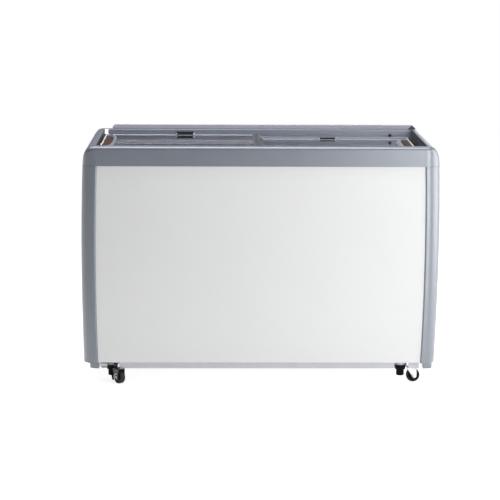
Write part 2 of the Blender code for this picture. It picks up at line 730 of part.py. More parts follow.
def build_evaporator(copper):
    """A tube wound round the outside of the tub, with round corners and a steady rise."""
    turns = 4
    half_x = LINER_X[1] + LINER_WALL + COIL_SPACE / 2
    half_y = LINER_HALF_Y + LINER_WALL + COIL_SPACE / 2
    loop = rounded_rectangle(-half_x, half_x, -half_y, half_y, LINER_RADIUS + LINER_WALL + COIL_SPACE / 2)
    points = []
    for turn in range(turns):
        for i, (x, y) in enumerate(loop):
            z = 0.420 + 0.085 * (turn + i / len(loop))
            points.append((x, y, z))
    tube("evaporator_tube", points, 0.004, copper)


def build_controls(plastic, black, grille_grey):
    grille = block("grille", (PANEL_X + GAP, -0.247, 0.103), (PANEL_X + 0.0033, 0.007, 0.317))
    slots = []
    for i in range(9):
        z = 0.122 + 0.020 * i
        slots.append(block("slot", (0.63, -0.226, z), (0.65, -0.014, z + 0.010)))
    place("vent_grille", cut("vent_grille", grille, slots), grille_grey)

    body = block("thermostat_body", (0.604, 0.035, 0.225), (0.6320, 0.085, 0.275))
    place("thermostat_body", body, plastic)
    knob_profile = [(0.0, 0.6325), (0.0030, 0.6325), (0.0030, 0.6402), (0.0160, 0.6402)]
    knob_profile += [(0.0160, 0.6440), (0.0140, 0.6505), (0.0, 0.6505)]
    knob = turned("disc", [(r, x - 0.6402) for r, x in knob_profile], 20, ALONG_X)
    ridge = block("ridge", (0.0100, -0.0015, 0.0020), (0.0112, 0.0015, 0.0130))
    knob = weld("thermostat_knob", knob, [ridge], 32)
    place("thermostat_knob", knob, black).location = (0.6402, 0.060, 0.250)

    plug_profile = [(0.0, -0.0085), (0.0105, -0.0085), (0.0115, -0.0070), (0.0115, GAP), (0.018, GAP)]
    plug_profile += [(0.018, 0.0035), (0.016, 0.0050), (0.0, 0.0050)]
    plug = turned("drain_plug", plug_profile, 16)
    place("drain_plug", plug, black).location = (-0.45, 0.0, LINER_FLOOR)

    inlet_profile = [(0.004, -0.014), (0.0085, -0.014), (0.0085, GAP), (0.012, GAP), (0.012, 0.0025)]
    inlet_profile += [(0.009, 0.0040), (0.004, 0.0040)]
    inlet = turned("cord_inlet", inlet_profile, 16, ALONG_Y)
    place("cord_inlet", inlet, black).location = (0.500, PANEL_Y, 0.130)


# ---------------------------------------------------------------- assembly
def build():
    clear_scene()
    paint = material("white_paint", (0.80, 0.81, 0.82), 0.30)
    galvanised = material("galvanised_steel", (0.55, 0.56, 0.58), 0.40, 0.9)
    grey = material("grey_plastic", (0.30, 0.32, 0.36), 0.42)
    dark_grey = material("dark_grey_plastic", (0.16, 0.16, 0.20), 0.45)
    trim = material("trim", (0.48, 0.47, 0.52), 0.40)
    white = material("liner_white", (0.82, 0.83, 0.84), 0.30)
    foam = material("foam", (0.82, 0.72, 0.42), 0.90)
    black = material("black_plastic", (0.015, 0.015, 0.017), 0.45)
    black_paint = material("black_paint", (0.02, 0.02, 0.02), 0.40)
    rubber = material("black_rubber", (0.012, 0.012, 0.012), 0.75)
    zinc = material("zinc_plate", (0.62, 0.62, 0.60), 0.30, 1.0)
    copper = material("copper", (0.72, 0.36, 0.20), 0.30, 1.0)
    lid_finishes = {
        "runner": dark_grey,
        "glass": material("glass", (0.55, 0.60, 0.62), 0.05),
        "aluminium": material("aluminium", (0.66, 0.66, 0.68), 0.32, 1.0),
        "plastic": grey,
        "brown": material("brown_pad", (0.13, 0.045, 0.02), 0.55),
        "dark": black,
    }

    build_panels(paint, galvanised)
    build_pillars(grey)
    build_base(galvanised, trim)
    build_liner(white, foam)
    build_rim(grey, dark_grey, rubber)
    upper = UPPER_TRACK_Z + GAP
    upper_y = TOP_INNER_Y - 0.0015
    pull = (-0.318, -0.246)
    build_lid("left_lid", LEFT_LID_OUTER, LID_OVERLAP, upper, upper_y, pull, 0.0115, lid_finishes)
    lower = LOWER_TRACK_Z + GAP
    lower_y = UPPER_INNER_Y - 0.0015
    pull = (0.238, 0.306)
    build_lid("right_lid", RIGHT_LID_OUTER, -LID_OVERLAP, lower, lower_y, pull, 0.006, lid_finishes)
    build_casters(zinc, rubber, black)
    build_compressor(black_paint)
    build_fan(black, galvanised)
    build_condenser(black_paint)
    build_evaporator(copper)
    build_controls(grey, black, dark_grey)


build()
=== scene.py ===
"""Looks of the commercial chest freezer with two sliding glass lids: finishes, fine pieces and studio."""

import json
import math

import bmesh
import bpy
from mathutils import Matrix, Vector

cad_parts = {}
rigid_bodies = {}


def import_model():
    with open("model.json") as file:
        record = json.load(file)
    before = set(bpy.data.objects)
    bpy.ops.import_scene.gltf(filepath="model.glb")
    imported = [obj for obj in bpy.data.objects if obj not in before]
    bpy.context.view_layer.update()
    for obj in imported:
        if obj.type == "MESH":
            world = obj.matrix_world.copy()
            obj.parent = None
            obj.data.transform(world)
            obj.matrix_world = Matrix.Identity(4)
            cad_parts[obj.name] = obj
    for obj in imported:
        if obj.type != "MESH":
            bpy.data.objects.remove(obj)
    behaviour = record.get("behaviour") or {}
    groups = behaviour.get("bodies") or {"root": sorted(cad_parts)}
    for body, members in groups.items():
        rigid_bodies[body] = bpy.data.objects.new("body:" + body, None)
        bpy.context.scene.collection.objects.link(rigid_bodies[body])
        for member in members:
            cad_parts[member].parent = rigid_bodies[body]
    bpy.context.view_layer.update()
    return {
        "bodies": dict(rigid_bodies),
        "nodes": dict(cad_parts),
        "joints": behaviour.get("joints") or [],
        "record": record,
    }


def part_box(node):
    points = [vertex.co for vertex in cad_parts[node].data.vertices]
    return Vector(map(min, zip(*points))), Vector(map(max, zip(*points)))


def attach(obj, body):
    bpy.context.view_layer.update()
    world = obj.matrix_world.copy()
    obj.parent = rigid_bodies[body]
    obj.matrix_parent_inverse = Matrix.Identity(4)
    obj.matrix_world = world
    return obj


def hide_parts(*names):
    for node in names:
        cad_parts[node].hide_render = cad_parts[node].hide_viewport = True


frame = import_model()
NODES = frame["nodes"]


# ---------------------------------------------------------------- node helpers
class Finish:
    """A procedural material: a Principled shader with node chains for colour, roughness and bump."""

    def __init__(self, name, roughness=0.5, metallic=0.0, **sockets):
        self.material = bpy.data.materials.new(name)
        self.material.use_nodes = True
        self.tree = self.material.node_tree
        self.shader = self.tree.nodes["Principled BSDF"]
        self.set("Roughness", roughness)
        self.set("Metallic", metallic)
        for socket, value in sockets.items():
            self.set(socket.replace("_", " "), value)
        self.coordinates = self.tree.nodes.new("ShaderNodeTexCoord")

    def set(self, socket, value):
        self.shader.inputs[socket].default_value = value

    def link(self, source, target):
        self.tree.links.new(source, target)

    def stretch(self, scale):
        """Object coordinates in metres, scaled along each axis."""
        node = self.tree.nodes.new("ShaderNodeMapping")
        node.inputs["Scale"].default_value = scale
        self.link(self.coordinates.outputs["Object"], node.inputs["Vector"])
        return node.outputs["Vector"]

    def noise(self, scale, detail=2.0, stretch=(1.0, 1.0, 1.0)):
        node = self.tree.nodes.new("ShaderNodeTexNoise")
        node.inputs["Scale"].default_value = scale
        node.inputs["Detail"].default_value = detail
        self.link(self.stretch(stretch), node.inputs["Vector"])
        return node.outputs["Fac"]

    def cells(self, scale, output="Color"):
        node = self.tree.nodes.new("ShaderNodeTexVoronoi")
        node.inputs["Scale"].default_value = scale
        self.link(self.stretch((1.0, 1.0, 1.0)), node.inputs["Vector"])
        return node.outputs[output]

    def ramp(self, source, stops):
        """Colours along a 0 to 1 value; stops are (place, colour or grey)."""
        node = self.tree.nodes.new("ShaderNodeValToRGB")
        elements = node.color_ramp.elements
        while len(elements) < len(stops):
            elements.new(0.5)
        for element, (place, colour) in zip(elements, stops):
            element.position = place
            grey = isinstance(colour, (int, float))
            element.color = (colour, colour, colour, 1.0) if grey else (*colour, 1.0)
        self.link(source, node.inputs["Fac"])
        return node.outputs["Color"]

    def mix(self, factor, first, second):
        """Goes from the first colour to the second as the factor rises; any of them may be a socket."""
        node = self.tree.nodes.new("ShaderNodeMix")
        node.data_type = "RGBA"
        for socket, value in (("Factor", factor), ("A", first), ("B", second)):
            spot = [i for i in node.inputs if i.name == socket and i.enabled][0]
            if isinstance(value, bpy.types.NodeSocket):
                self.link(value, spot)
            else:
                spot.default_value = (*value, 1.0)
        return [o for o in node.outputs if o.enabled][0]

    def colour(self, source):
        self.link(source, self.shader.inputs["Base Color"])

    def rough(self, source, low, high):
        self.link(self.ramp(source, [(0.3, low), (0.7, high)]), self.shader.inputs["Roughness"])

    def bump(self, source, depth, strength=1.0):
        """Relief of this depth in metres; each call adds to the last."""
        node = self.tree.nodes.new("ShaderNodeBump")
        node.inputs["Strength"].default_value = strength
        node.inputs["Distance"].default_value = depth
        self.link(source, node.inputs["Height"])
        normal = self.shader.inputs["Normal"]
        if normal.is_linked:
            self.link(normal.links[0].from_socket, node.inputs["Normal"])
        self.link(node.outputs["Normal"], normal)


def shade(colour, factor):
    return tuple(min(1.0, channel * factor) for channel in colour)


# ---------------------------------------------------------------- finishes
def painted_steel(name, colour, gloss=0.30):
    made = Finish(name, gloss, Coat_Weight=0.15, Coat_Roughness=0.12)
    clouds = made.noise(2.4, 3.0)
    made.colour(made.ramp(clouds, [(0.25, shade(colour, 0.975)), (0.75, colour)]))
    made.rough(made.noise(5.0, 4.0), gloss - 0.03, gloss + 0.05)
    made.bump(made.noise(420.0, 2.0), 0.00003)
    made.bump(made.noise(9.0, 1.0), 0.0004, 0.25)
    return made.material


def moulded_plastic(name, colour, gloss=0.42, grain=1400.0, depth=0.00004, shine=0.5, lacquer=0.0):
    made = Finish(name, gloss, Specular_IOR_Level=shine)
    made.set("Coat Weight", lacquer)
    made.set("Coat Roughness", 0.36)
    made.set("Coat IOR", 1.75)
    made.set("Specular Tint", (0.84, 0.93, 1.0, 1.0))
    mottle = made.noise(38.0, 4.0)
    made.colour(made.ramp(mottle, [(0.3, shade(colour, 0.97)), (0.7, shade(colour, 1.03))]))
    made.rough(made.noise(14.0, 3.0), gloss - 0.05, gloss + 0.06)
    made.bump(made.cells(grain, output="Distance"), depth)
    made.bump(made.noise(60.0, 2.0), 0.00008, 0.4)
    return made.material


def galvanised(name, colour):
    made = Finish(name, 0.38, 0.92)
    spangle = made.cells(70.0)
    tone = made.ramp(spangle, [(0.1, shade(colour, 0.80)), (0.9, shade(colour, 1.12))])
    haze = made.noise(6.0, 3.0)
    made.colour(made.mix(haze, tone, colour))
    made.rough(made.cells(70.0), 0.30, 0.52)
    made.bump(made.noise(300.0, 3.0), 0.00003)
    return made.material


def plated(name, colour, gloss=0.28):
    made = Finish(name, gloss, 1.0)
    bloom = made.noise(45.0, 3.0)
    warm = (colour[0] * 1.02, colour[1] * 0.98, colour[2] * 0.86)
    made.colour(made.ramp(bloom, [(0.3, warm), (0.7, colour)]))
    made.rough(made.noise(90.0, 4.0), gloss - 0.06, gloss + 0.12)
    made.bump(made.noise(600.0, 2.0), 0.00003)
    return made.material


def brushed(name, colour, along=(1.0, 60.0, 60.0)):
    made = Finish(name, 0.30, 1.0)
    strokes = made.noise(25.0, 4.0, along)
    made.colour(made.ramp(strokes, [(0.3, shade(colour, 0.88)), (0.7, shade(colour, 1.06))]))
    made.rough(strokes, 0.24, 0.40)
    made.bump(strokes, 0.00003)
    return made.material


def rubber(name, colour, gloss=0.7):
    made = Finish(name, gloss, Specular_IOR_Level=0.25)
    dust = made.noise(60.0, 5.0)
    made.colour(made.ramp(dust, [(0.35, colour), (0.8, (0.011, 0.0105, 0.010))]))
    made.rough(made.noise(120.0, 3.0), gloss - 0.12, gloss + 0.1)
    made.bump(made.noise(900.0, 2.0), 0.00005)
    return made.material


def glass_pane(name, colour):
    made = Finish(name, 0.02, Transmission_Weight=1.0, IOR=1.50)
    smear = made.noise(7.0, 4.0, (1.0, 3.0, 1.0))
    made.colour(made.ramp(smear, [(0.3, shade(colour, 0.97)), (0.7, colour)]))
    made.rough(smear, 0.015, 0.05)
    made.bump(made.noise(3.0, 1.0), 0.0003, 0.15)
    return made.material


def foam(name):
    made = Finish(name, 0.9)
    cells = made.cells(350.0, output="Distance")
    made.colour(made.ramp(made.noise(12.0, 4.0), [(0.3, (0.70, 0.58, 0.30)), (0.7, (0.84, 0.74, 0.46))]))
    made.bump(cells, 0.0008)
    return made.material


def brown_grip(name):
    made = Finish(name, 0.55, Specular_IOR_Level=0.25)
    streaks = made.noise(30.0, 5.0, (4.0, 0.7, 4.0))
    # A brown that is partly the pad's own colour and partly painted shade of the recess it sits in, so very
    # dark.
    made.colour(made.ramp(streaks, [(0.3, (0.012, 0.0045, 0.002)), (0.7, (0.030, 0.0115, 0.0055))]))
    made.rough(streaks, 0.38, 0.56)
    made.bump(made.noise(500.0, 3.0), 0.00005)
    return made.material


FINISHES = {
    "white_paint": painted_steel("white_paint", (0.457, 0.459, 0.461), 0.45),
    "galvanised_steel": galvanised("galvanised_steel", (0.46, 0.47, 0.49)),
    "plinth_trim": moulded_plastic("plinth_trim", (0.352, 0.343, 0.373), 0.42),
    "insulation_foam": foam("insulation_foam"),
    "liner_white": painted_steel("liner_white", (0.64, 0.65, 0.66), 0.34),
    "grey_plastic": moulded_plastic("grey_plastic", (0.050, 0.056, 0.075), 0.42, shine=1.0, lacquer=0.85),
    "dark_grey_plastic": moulded_plastic("dark_grey_plastic", (0.165, 0.160, 0.190), 0.5),
    "black_plastic": moulded_plastic("black_plastic", (0.002, 0.002, 0.0022), 0.45, shine=0.06),
    "black_paint": painted_steel("black_paint", (0.020, 0.020, 0.021), 0.32),
    "black_rubber": rubber("black_rubber", (0.012, 0.012, 0.012)),
    "wheel_rubber": rubber("wheel_rubber", (0.006, 0.006, 0.006), 0.55),
    "zinc_plate": plated("zinc_plate", (0.46, 0.46, 0.45), 0.34),
    "copper_tube": plated("copper_tube", (0.72, 0.36, 0.20)),
    "lid_runner": moulded_plastic("lid_runner", (0.22, 0.225, 0.25)),
    "lid_glass": glass_pane("lid_glass", (0.70, 0.72, 0.73)),
    "lid_profile": brushed("lid_profile", (0.24, 0.24, 0.26), (60.0, 1.0, 60.0)),
    "brown_pad": brown_grip("brown_pad"),
}


def end_lining(name):
    """Coarse dark moulding inside the rim's ends, also laid on the ledge's right end as painted shade."""
    made = Finish(name, 0.6, Specular_IOR_Level=0.2)
    grain = made.cells(420.0, output="Distance")
    made.colour(made.ramp(grain, [(0.1, (0.008, 0.008, 0.010)), (0.9, (0.034, 0.035, 0.040))]))
    made.rough(made.noise(30.0, 3.0), 0.46, 0.62)
    made.bump(grain, 0.0003)
    return made.material


# A light glossy colour that is a painted highlight on the well's rear left corner.
def painted_highlight_moulding(name):
    made = Finish(name, 0.12, Coat_Weight=0.6, Coat_Roughness=0.05)
    made.colour(made.ramp(made.noise(60.0, 2.0), [(0.3, (0.62, 0.65, 0.70)), (0.7, (0.72, 0.75, 0.80))]))
    made.bump(made.noise(200.0, 2.0), 0.00003)
    return made.material


# A cream colour that is a painted highlight of the lit outer edge of a lid's grip.
def cream_painted_highlight(name):
    made = Finish(name, 0.35)
    made.colour(made.ramp(made.noise(50.0, 3.0), [(0.3, (0.34, 0.28, 0.235)), (0.7, (0.42, 0.355, 0.305))]))
    made.rough(made.noise(40.0, 2.0), 0.30, 0.42)
    made.bump(made.noise(500.0, 2.0), 0.00003)
    return made.material


LINING_AND_PAINTED_SHADE = end_lining("end_lining")
CREAM_PAINTED_HIGHLIGHT = cream_painted_highlight("cream_painted_highlight")
GRIP_GREY = moulded_plastic("grip_grey", (0.085, 0.092, 0.108), 0.38, shine=0.6)
PAINTED_HIGHLIGHT_FILLET = painted_highlight_moulding("painted_highlight_fillet")
RIDGE_METAL = brushed("ridge_metal", (0.55, 0.55, 0.57), (60.0, 1.0, 60.0))


def dress_frame():
    """Each CAD node that still shows gets the finish of its record's material slot."""
    for node in NODES.values():
        for spot in node.material_slots:
            spot.material = FINISHES[spot.material.name.split(".")[0]]


# ---------------------------------------------------------------- mesh helpers
SMOOTH = 34
ALONG_X = Matrix.Rotation(math.radians(90), 4, "Y")
ALONG_Y = Matrix.Rotation(math.radians(-90), 4, "X")


def piece(name, mesh, slot, nodes=(), body="cabinet", finish=None):
    """Puts a mesh in the scene as a fine piece that rides on a body and may stand for CAD nodes."""
    mesh.materials.clear()
    mesh.materials.append(finish or FINISHES[slot])
    made = bpy.data.objects.new(name, mesh)
    bpy.context.scene.collection.objects.link(made)
    if nodes:
        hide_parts(*nodes)
    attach(made, body)


def finish_mesh(bm, smooth=SMOOTH):
    """Turns the bmesh into a mesh that is smooth but for edges sharper than this many degrees."""
    bmesh.ops.recalc_face_normals(bm, faces=bm.faces)
    mesh = bpy.data.meshes.new("fine")
    bm.to_mesh(mesh)
    bm.free()
    mesh.shade_smooth()
    mesh.set_sharp_from_angle(angle=math.radians(smooth))
    return mesh


def loft(rings, smooth=SMOOTH, looped=False):
    """A skin over rings of equal length: capped at both ends, or looped back from the last to the first."""
    bm = bmesh.new()
    rows = [[bm.verts.new(point) for point in ring] for ring in rings]
    count = len(rows[0])
    for low, high in zip(rows, rows[1:] + (rows[:1] if looped else [])):
        for i in range(count):
            j = (i + 1) % count
            bm.faces.new((low[i], low[j], high[j], high[i]))
    if not looped:
        bm.faces.new(list(reversed(rows[0])))
        bm.faces.new(rows[-1])
    return finish_mesh(bm, smooth)


def prism(outline, axis, low, high):
    """An outline carried along an axis; its two numbers are the other axes, in XYZ order."""
    orders = {"X": lambda a, b, c: (c, a, b), "Y": lambda a, b, c: (a, c, b), "Z": lambda a, b, c: (a, b, c)}
    rings = [[orders[axis](a, b, place) for a, b in outline] for place in (low, high)]
    return loft(rings)


def block(low, high):
    """A plain box between two corners, as stock for worked()."""
    outline = [(low[0], low[1]), (high[0], low[1]), (high[0], high[1]), (low[0], high[1])]
    return prism(outline, "Z", low[2], high[2])


def arc(centre, radius, start, end, steps):
    """Points on a circle between two angles in degrees."""
    points = []
    for i in range(steps + 1):
        angle = math.radians(start + (end - start) * i / steps)
        points.append((centre[0] + radius * math.cos(angle), centre[1] + radius * math.sin(angle)))
    return points


def turned(profile, steps, turn):
    """A profile of (radius, height) turned about +Z, closed on itself or from axis to axis, then placed."""
    bm = bmesh.new()
    points = [bm.verts.new((radius, 0.0, height)) for radius, height in profile]
    edges = [bm.edges.new(pair) for pair in zip(points, points[1:])]
    if profile[0][0] > 0.0:
        edges.append(bm.edges.new((points[-1], points[0])))
    about = {"cent": (0, 0, 0), "axis": (0, 0, 1), "angle": 2 * math.pi}
    bmesh.ops.spin(bm, geom=points + edges, steps=steps, use_merge=True, **about)
    bmesh.ops.remove_doubles(bm, verts=bm.verts, dist=1e-6)
    bmesh.ops.transform(bm, matrix=turn, verts=bm.verts)
    return finish_mesh(bm)


def joined(*meshes):
    bm = bmesh.new()
    for mesh in meshes:
        bm.from_mesh(mesh)
    return finish_mesh(bm)


def placed(mesh, turn):
    mesh.transform(turn)
    return mesh


def worked(mesh, cutters=(), bevel=0.0, segments=2, smooth=SMOOTH, added=()):
    """The mesh with the added ones and less its cutters, its edges rounded off by the bevel width."""
    target = bpy.data.objects.new("target", mesh)
    bpy.context.scene.collection.objects.link(target)
    helpers = []
    steps = [(tool, "UNION") for tool in added] + [(tool, "DIFFERENCE") for tool in cutters]
    for tool, operation in steps:
        helper = bpy.data.objects.new("helper", tool)
        bpy.context.scene.collection.objects.link(helper)
        helpers.append(helper)
        boolean = target.modifiers.new("join", "BOOLEAN")
        boolean.operation = operation
        boolean.object = helper
    if bevel:
        flatten = target.modifiers.new("flatten", "DECIMATE")
        flatten.decimate_type = "DISSOLVE"
        flatten.angle_limit = math.radians(0.5)
        edge = target.modifiers.new("edge", "BEVEL")
        edge.width = bevel
        edge.segments = segments
        edge.limit_method = "ANGLE"
        edge.angle_limit = math.radians(smooth)
        edge.harden_normals = True
    graph = bpy.context.evaluated_depsgraph_get()
    made = bpy.data.meshes.new_from_object(target.evaluated_get(graph))
    for thing in (target, *helpers):
        bpy.data.objects.remove(thing, do_unlink=True)
    if not bevel:
        made.shade_smooth()
        made.set_sharp_from_angle(angle=math.radians(smooth))
    return made


def eased(low, high, bevel):
    """A box between two corners with its edges rounded off."""
    return worked(block(low, high), bevel=bevel)


def softened(node, bevel, segments=2):
    """The shape of a CAD node with its edges rounded off."""
    source = NODES[node]
    bm = bmesh.new()
    bm.from_mesh(source.data)
    bmesh.ops.transform(bm, matrix=source.matrix_world, verts=bm.verts)
    bmesh.ops.remove_doubles(bm, verts=bm.verts, dist=1e-5)
    return worked(finish_mesh(bm), bevel=bevel, segments=segments)


def soft_skin(node, bevel, segments, slot, body="cabinet"):
    """The CAD node itself, with rounded edges, stands for the node."""
    piece(f"{node}_skin", softened(node, bevel, segments), slot, [node], body)


def screw_heads(name, profile, spots, turn):
    """One piece that holds a screw head at each spot."""
    heads = [turned(profile, 20, Matrix.Translation(spot) @ turn) for spot in spots]
    piece(name, joined(*heads), "zinc_plate")


# ---------------------------------------------------------------- cabinet
HALF_DEPTH = 0.340
BAND_BOTTOM, RIM_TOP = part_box("front_rail")[0][2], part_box("front_rail")[1][2]
PILLAR_BOTTOM, PILLAR_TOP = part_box("front_left_pillar")[0][2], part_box("front_left_pillar")[1][2]
CORNERS = {"front_left": (-1, -1), "front_right": (1, -1), "rear_left": (-1, 1), "rear_right": (1, 1)}
CORNER_RADIUS = 0.050
BOW_HEIGHT = {-1: 0.44, 1: 0.53}
BOW_HALF_WIDTH = 0.650
BOW_RATE = 0.050
PILLAR_FACE = 0.055
PILLAR_BACK_Y = 0.3353
SIDE_REBATE = (0.6398, 0.2852)


def pillar_ring(z, side, end):
    """Plan outline of a bowed corner pillar, with a sloping lip beside the panel."""
    outer = BOW_HALF_WIDTH - BOW_RATE * (z - BOW_HEIGHT[side]) ** 2
    face = outer - PILLAR_FACE
    rebate_x, rebate_y = SIDE_REBATE
    centre = (outer - CORNER_RADIUS, HALF_DEPTH - CORNER_RADIUS)
    points = [(face, 0.3358), (face + 0.0004, 0.3364), (face + 0.0030, 0.3394), (face + 0.0040, HALF_DEPTH)]
    points += arc(centre, CORNER_RADIUS, 90, 0, 24)
    points += [(outer, 0.2870), (outer - 0.0004, 0.2858), (outer - 0.0014, rebate_y)]
    points += [(rebate_x, rebate_y), (rebate_x, 0.2925), (0.6075, PILLAR_BACK_Y), (face, PILLAR_BACK_Y)]
    return [(side * x, end * y, z) for x, y in points]


def build_pillars():
    steps = 30
    heights = [PILLAR_BOTTOM + (PILLAR_TOP - PILLAR_BOTTOM) * i / steps for i in range(steps + 1)]
    for corner, (side, end) in CORNERS.items():
        node = f"{corner}_pillar"
        piece(f"{node}_skin", loft([pillar_ring(z, side, end) for z in heights]), "grey_plastic", [node])
        soft_skin(f"{corner}_foot_cap", 0.0010, 3, "grey_plastic")


def build_panels():
    soft_skin("front_panel", 0.0006, 3, "white_paint")
    soft_skin("left_panel", 0.0006, 3, "white_paint")
    soft_skin("right_panel", 0.0004, 2, "white_paint")
    soft_skin("rear_panel", 0.0004, 2, "galvanised_steel")
    soft_skin("front_plinth", 0.0004, 2, "plinth_trim")
    soft_skin("base_pan", 0.0005, 2, "galvanised_steel")


def build_notch():
    """What shows in the plinth's cut-out at the front left: a dark strip along its top and side that is a
    painted shadow, and a small foot bracket with a dark strip under it that is painted shade.
    """
    front, back = -0.3188, -0.3172
    right, top = -0.5115, 0.0812
    # A black strip along the top of the cut-out and down its right side, painted shadow.
    strip = block((-0.5830, front, 0.0752), (right, back, top))
    end = block((right - 0.0013, front, 0.0590), (right, back, top))
    piece("front_left_notch_painted_shadow", joined(strip, end), "black_plastic")
    bracket = eased((-0.5810, -0.3185, 0.0630), (-0.5570, -0.3170, 0.0765), 0.0004)
    piece("front_left_bracket", bracket, "plinth_trim")
    # A black strip under the bracket, painted shade.
    lip = eased((-0.5790, -0.3195, 0.0595), (-0.5560, -0.3170, 0.0628), 0.0004)
    piece("front_left_bracket_painted_shade", lip, "black_plastic")


def build_rear_screws():
    screw = [(0.0, 0.0), (0.0042, 0.0), (0.0040, 0.0010), (0.0028, 0.0018), (0.0, 0.0021)]
    spots = [(x, 0.3351, z) for x in (-0.585, -0.195, 0.195, 0.585) for z in (0.105, 0.780)]
    screw_heads("rear_panel_screws", screw, spots, ALONG_Y)


# ---------------------------------------------------------------- liner
LINER_HALF = (0.566, 0.255)
LINER_RADIUS = 0.030
LINER_WALL = 0.0025
DEEP_FLOOR, DEEP_END = 0.150, 0.300
STEP_TOP = 0.375
DRAIN_SPOT = Matrix.Translation((-0.45, 0.0, DEEP_FLOOR))


def rounded(x0, x1, half_y, radius):
    """A rectangle in plan with rounded corners."""
    points = []
    spots = ((x1, half_y, 0), (x0, half_y, 90), (x0, -half_y, 180), (x1, -half_y, 270))
    for x, y, start in spots:
        centre = (x - math.copysign(radius, x - (x0 + x1) / 2), y - math.copysign(radius, y))
        points += arc(centre, radius, start, start + 90, 12)
    return points


def liner_shape(grow, top):
    """The well as a solid, grown outwards: a deep part, and a shallow one over the machine bay."""
    half_x, half_y = LINER_HALF[0] + grow, LINER_HALF[1] + grow
    radius = LINER_RADIUS + grow
    deep = prism(rounded(-half_x, DEEP_END + grow, half_y, radius), "Z", DEEP_FLOOR - grow, top)
    wide = prism(rounded(-half_x, half_x, half_y, radius), "Z", STEP_TOP - grow, top)
    return worked(deep, added=[wide])


def build_liner():
    low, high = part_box("liner_tub")
    flange = block((low[0], low[1], high[2] - 0.003), high)
    hole = turned([(0.0, -0.02), (0.012, -0.02), (0.012, 0.02), (0.0, 0.02)], 40, DRAIN_SPOT)
    outside, inside = liner_shape(LINER_WALL, high[2]), liner_shape(0.0, RIM_TOP)
    tub = worked(outside, [inside, hole], smooth=40, added=[flange])
    piece("liner_tub_skin", tub, "liner_white", ["liner_tub"])


# ---------------------------------------------------------------- rim
RAIL_ROUND = 0.012
RAIL_END = 0.5908
END_HALF_WIDTH = {-1: 0.6430, 1: 0.6475}
END_WALL_X = {-1: 0.595, 1: 0.603}
END_TAPER = 0.0025
TOP_INNER_Y = 0.292
LINING_GAP = 0.0004
UPPER_TRACK, LOWER_TRACK, TRACK_FOOT = 0.8445, 0.8305, 0.805
RAIL_STEPS = (
    (0.048, RIM_TOP, UPPER_TRACK),
    (0.062, UPPER_TRACK, LOWER_TRACK),
    (0.076, LOWER_TRACK, TRACK_FOOT),
)
RAIL_WALL = 0.003


def rail_outline(end):
    """Section of a long rail as it is moulded: rounded outer edge, soft inner lips, open underneath."""
    inset = [(0.0, BAND_BOTTOM)]
    inset += [(RAIL_ROUND - x, z) for x, z in arc((0.0, RIM_TOP - RAIL_ROUND), RAIL_ROUND, 0, 90, 14)]
    for edge, top, under in RAIL_STEPS:
        lip = 0.002 if top == RIM_TOP else 0.0012
        inset += [(edge - lip + x, z) for x, z in arc((0.0, top - lip), lip, 90, 0, 5)]
        inset.append((edge, under))
    inset.append((RAIL_STEPS[2][0] - RAIL_WALL, TRACK_FOOT))
    for (edge, _, under), (step, _, _) in ((RAIL_STEPS[1], RAIL_STEPS[2]), (RAIL_STEPS[0], RAIL_STEPS[1])):
        inset += [(step - RAIL_WALL, under - RAIL_WALL), (edge - RAIL_WALL, under - RAIL_WALL)]
    inset += [(0.045, RIM_TOP - RAIL_WALL), (0.008, RIM_TOP - RAIL_WALL), (RAIL_WALL, RIM_TOP - 0.008)]
    inset += [(RAIL_WALL, BAND_BOTTOM + RAIL_WALL), (0.016, BAND_BOTTOM + RAIL_WALL), (0.016, BAND_BOTTOM)]
    return [(end * (HALF_DEPTH - y), z) for y, z in inset]


def shoulder_inset(z, turn):
    """How far the outer face has come in at this height; turn is 0 on a long side and 1 on an end."""
    blend = turn * turn * (3 - 2 * turn)
    across = RAIL_ROUND + 0.030 * blend
    down = RAIL_ROUND + 0.037 * blend
    rise = max(0.0, (z - (RIM_TOP - down)) / down)
    taper = END_TAPER * blend * min(1.0, (z - BAND_BOTTOM) / 0.038)
    return taper + (across - END_TAPER * blend) * (1 - math.sqrt(max(0.0, 1 - rise * rise)))


def end_ring(z, side):
    """Plan outline of an end moulding at this height, round both of its corners."""
    centre_x, centre_y = END_HALF_WIDTH[side] - CORNER_RADIUS, HALF_DEPTH - CORNER_RADIUS
    quarter = [(RAIL_END + 0.0003, HALF_DEPTH - shoulder_inset(z, 0.0))]
    steps = 28
    for i in range(steps + 1):
        turn = i / steps
        angle = math.radians(90 * (1 - turn))
        radius = CORNER_RADIUS - shoulder_inset(z, turn)
        quarter.append((centre_x + radius * math.cos(angle), centre_y + radius * math.sin(angle)))
    points = [(x, -y) for x, y in quarter] + [(x, y) for x, y in reversed(quarter)]
    return [(side * x, y, z) for x, y in points]


def spanned(side, inner, outer, half_y, bottom, top):
    """A block on one side of the cabinet, between two distances from its middle."""
    low_x, high_x = sorted((side * inner, side * outer))
    return block((low_x, -half_y, bottom), (high_x, half_y, top))


def build_end_rail(name, side):
    wall = END_WALL_X[side]
    steps = 30
    depth = RIM_TOP - BAND_BOTTOM
    heights = [BAND_BOTTOM + depth * math.sin(math.pi / 2 * i / steps) for i in range(steps + 1)]
    well = spanned(side, 0.58, wall, TOP_INNER_Y, 0.8145, 0.90)
    hollow = spanned(side, wall + RAIL_WALL, 0.640, 0.280, 0.79, 0.825)
    shape = worked(loft([end_ring(z, side) for z in heights]), [well, hollow])
    piece(f"{name}_skin", shape, "grey_plastic", [name])

    lining = spanned(side, wall - 0.0001, wall - 0.0013, TOP_INNER_Y - LINING_GAP, 0.8150, RIM_TOP - 0.0012)
    piece(f"{name}_lining", lining, "black_plastic", finish=LINING_AND_PAINTED_SHADE)


